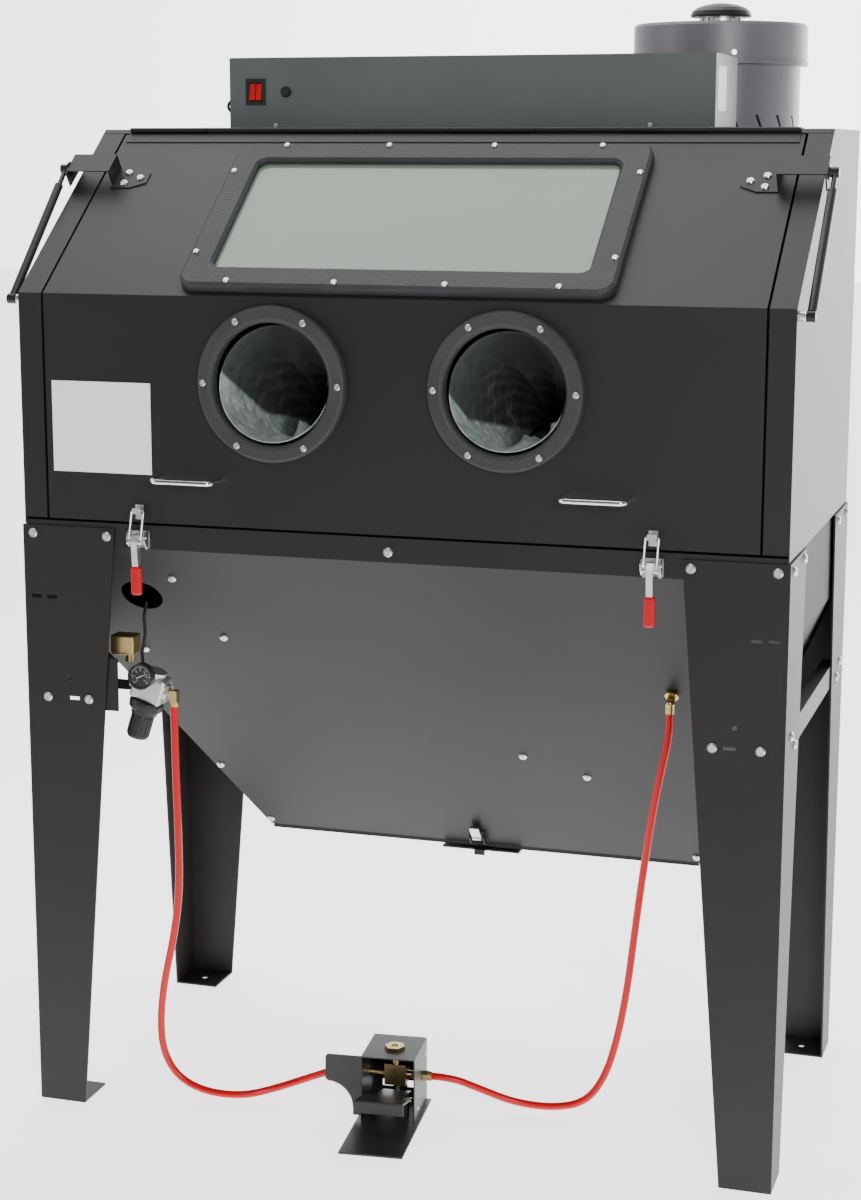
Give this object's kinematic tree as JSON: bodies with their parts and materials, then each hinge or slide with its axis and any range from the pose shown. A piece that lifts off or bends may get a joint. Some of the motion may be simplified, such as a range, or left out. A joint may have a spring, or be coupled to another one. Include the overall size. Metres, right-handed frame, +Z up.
{
  "type": "abrasive blast cabinet",
  "caption": "Free-standing abrasive blast cabinet with glove ports, lifting windowed door, grit hopper, dust collector, air regulator and foot pedal.",
  "frame": {"origin": "on the floor at the centre of the four foot holes, under the middle of the body", "axes": "+X to the user's right as they face the door, +Y towards the back, +Z up"},
  "size_m": [1.27, 1.0161, 1.811],
  "materials": {
    "black_powder_coat": "satin, fine texture",
    "hopper_coat": "satin powder coat",
    "black_plastic": "fine grain",
    "window_moulding": "coarse leather grain",
    "glass": "clear with a light haze",
    "seal_rubber": "matte",
    "glove_cloth": "rubber-coated cloth",
    "zinc": "bright zinc plate",
    "chrome": "polished",
    "brass": "turned",
    "die_cast": "die cast, satin",
    "red_grip": "dipped vinyl",
    "red_hose": "glossy tube",
    "white_plate": "gloss",
    "lens": "clear",
    "dial": "matte",
    "filter_paper": "pleated",
    "red_rocker": "gloss"
  },
  "bodies": {
    "frame": {"body_panels": "black_powder_coat", "front_frame": "black_powder_coat", "door_seal": "seal_rubber", "floor_grate": "zinc", "work_lamp": "white_plate", "blast_gun": "die_cast", "hopper_front": "hopper_coat", "hopper_walls": "hopper_coat", "hopper_tray": "black_powder_coat", "legs": "black_powder_coat", "braces": "black_powder_coat", "bolts": "zinc", "hinge_leaf_body": "black_powder_coat", "latch_bases": "zinc", "control_box": "black_powder_coat", "notice_plate_box": "white_plate", "box_fittings": "black_plastic", "black_lines": "seal_rubber", "collector_drum": "black_powder_coat", "collector_head": "black_powder_coat", "collector_dome": "black_plastic", "collector_neck": "die_cast", "filter_cartridge": "filter_paper", "regulator_body": "die_cast", "regulator_bonnet": "black_plastic", "gauge_face": "dial", "gauge_lens": "lens", "brass_fittings": "brass", "pedal_housing": "black_powder_coat", "pedal_valve": "brass", "air_hose_left": "red_hose", "air_hose_right": "red_hose"},
    "door": {"door_panel": "black_powder_coat", "window_frame": "window_moulding", "window_glass": "glass", "door_fasteners": "zinc", "glove_rings": "window_moulding", "gloves": "glove_cloth", "notice_plate_left": "white_plate", "door_handles": "chrome", "hinge_leaf_door": "black_powder_coat", "strut_brackets": "black_powder_coat"},
    "strut_tube_left": {"strut_tube_left": "black_powder_coat"},
    "strut_tube_right": {"strut_tube_right": "black_powder_coat"},
    "strut_rod_left": {"strut_rod_left": "chrome"},
    "strut_rod_right": {"strut_rod_right": "chrome"},
    "latch_lever_left": {"latch_lever_left": "zinc", "latch_grip_left": "red_grip"},
    "latch_lever_right": {"latch_lever_right": "zinc", "latch_grip_right": "red_grip"},
    "latch_bail_left": {"latch_bail_left": "zinc"},
    "latch_bail_right": {"latch_bail_right": "zinc"},
    "clean_out_flap": {"clean_out_flap": "black_powder_coat"},
    "flap_catch_lever": {"flap_catch_lever": "zinc"},
    "regulator_knob": {"regulator_knob": "black_plastic"},
    "rocker_1": {"rocker_1": "red_rocker"},
    "rocker_2": {"rocker_2": "red_rocker"},
    "fan_wheel": {"fan_wheel": "black_plastic"},
    "pedal_treadle": {"pedal_treadle": "black_powder_coat"},
    "pedal_plunger": {"pedal_plunger": "zinc"}
  },
  "joints": [
    {"name": "door_hinge", "type": "hinge", "parent": "frame", "child": "door", "pos_m": [0, 0.00624, 1.59165], "axis": [-1, 0, 0], "range_deg": [0, 50]},
    {"name": "strut_swing_left", "type": "hinge", "parent": "frame", "child": "strut_tube_left", "pos_m": [-0.628, -0.305, 1.329], "axis": [1, 0, 0], "range_deg": [0, 15.2]},
    {"name": "strut_stroke_left", "type": "slide", "parent": "strut_tube_left", "child": "strut_rod_left", "axis": [0, 0.7104, 0.7038], "range_m": [0, 0.0745]},
    {"name": "strut_swing_right", "type": "hinge", "parent": "frame", "child": "strut_tube_right", "pos_m": [0.628, -0.305, 1.329], "axis": [1, 0, 0], "range_deg": [0, 15.2]},
    {"name": "strut_stroke_right", "type": "slide", "parent": "strut_tube_right", "child": "strut_rod_right", "axis": [0, 0.7104, 0.7038], "range_m": [0, 0.0745]},
    {"name": "latch_throw_left", "type": "hinge", "parent": "frame", "child": "latch_lever_left", "pos_m": [-0.41, -0.334, 0.963], "axis": [-1, 0, 0], "range_deg": [0, 100]},
    {"name": "latch_bail_swing_left", "type": "hinge", "parent": "latch_lever_left", "child": "latch_bail_left", "pos_m": [-0.41, -0.343, 0.957], "axis": [-1, 0, 0], "range_deg": [-101, 1]},
    {"name": "latch_throw_right", "type": "hinge", "parent": "frame", "child": "latch_lever_right", "pos_m": [0.41, -0.334, 0.963], "axis": [-1, 0, 0], "range_deg": [0, 100]},
    {"name": "latch_bail_swing_right", "type": "hinge", "parent": "latch_lever_right", "child": "latch_bail_right", "pos_m": [0.41, -0.343, 0.957], "axis": [-1, 0, 0], "range_deg": [-101, 1]},
    {"name": "flap_hinge", "type": "hinge", "parent": "frame", "child": "clean_out_flap", "pos_m": [0, 0.272, 0.338], "axis": [1, 0, 0], "range_deg": [0, 80]},
    {"name": "flap_catch", "type": "hinge", "parent": "frame", "child": "flap_catch_lever", "pos_m": [0.0025, 0.16991, 0.36533], "axis": [1, 0, 0], "range_deg": [0, 105]},
    {"name": "regulator_turn", "type": "hinge", "parent": "frame", "child": "regulator_knob", "pos_m": [-0.412, -0.29, 0.711], "axis": [0.3007, 0, 0.9537], "range_deg": [0, 300]},
    {"name": "rocker_1_tilt", "type": "hinge", "parent": "frame", "child": "rocker_1", "pos_m": [-0.3707, 0.0845, 1.655], "axis": [1, 0, 0], "range_deg": [0, 11]},
    {"name": "rocker_2_tilt", "type": "hinge", "parent": "frame", "child": "rocker_2", "pos_m": [-0.3593, 0.0845, 1.655], "axis": [1, 0, 0], "range_deg": [0, 11]},
    {"name": "fan_spin", "type": "hinge", "parent": "frame", "child": "fan_wheel", "pos_m": [0.345, 0.48, 1.68], "axis": [0, 0, 1], "continuous": true},
    {"name": "treadle_press", "type": "hinge", "parent": "frame", "child": "pedal_treadle", "pos_m": [-0.02808, -0.22952, 0.034], "axis": [0.9945, 0.1045, 0], "range_deg": [0, 8], "stiffness_Nm_per_rad": 6, "springref_deg": -20.05},
    {"name": "plunger_push", "type": "slide", "parent": "frame", "child": "pedal_plunger", "axis": [0, 0, 1], "range_m": [0, 0.0064]}
  ],
  "couplings": [
    {"joint": "strut_swing_left", "follows": "door_hinge", "ratio": 0.2965},
    {"joint": "strut_stroke_left", "follows": "door_hinge", "m_per_rad": 0.083159},
    {"joint": "strut_swing_right", "follows": "door_hinge", "ratio": 0.2965},
    {"joint": "strut_stroke_right", "follows": "door_hinge", "m_per_rad": 0.083159},
    {"joint": "latch_bail_swing_left", "follows": "latch_throw_left", "ratio": -1},
    {"joint": "latch_bail_swing_right", "follows": "latch_throw_right", "ratio": -1},
    {"joint": "plunger_push", "follows": "treadle_press", "m_per_rad": 0.0444}
  ]
}
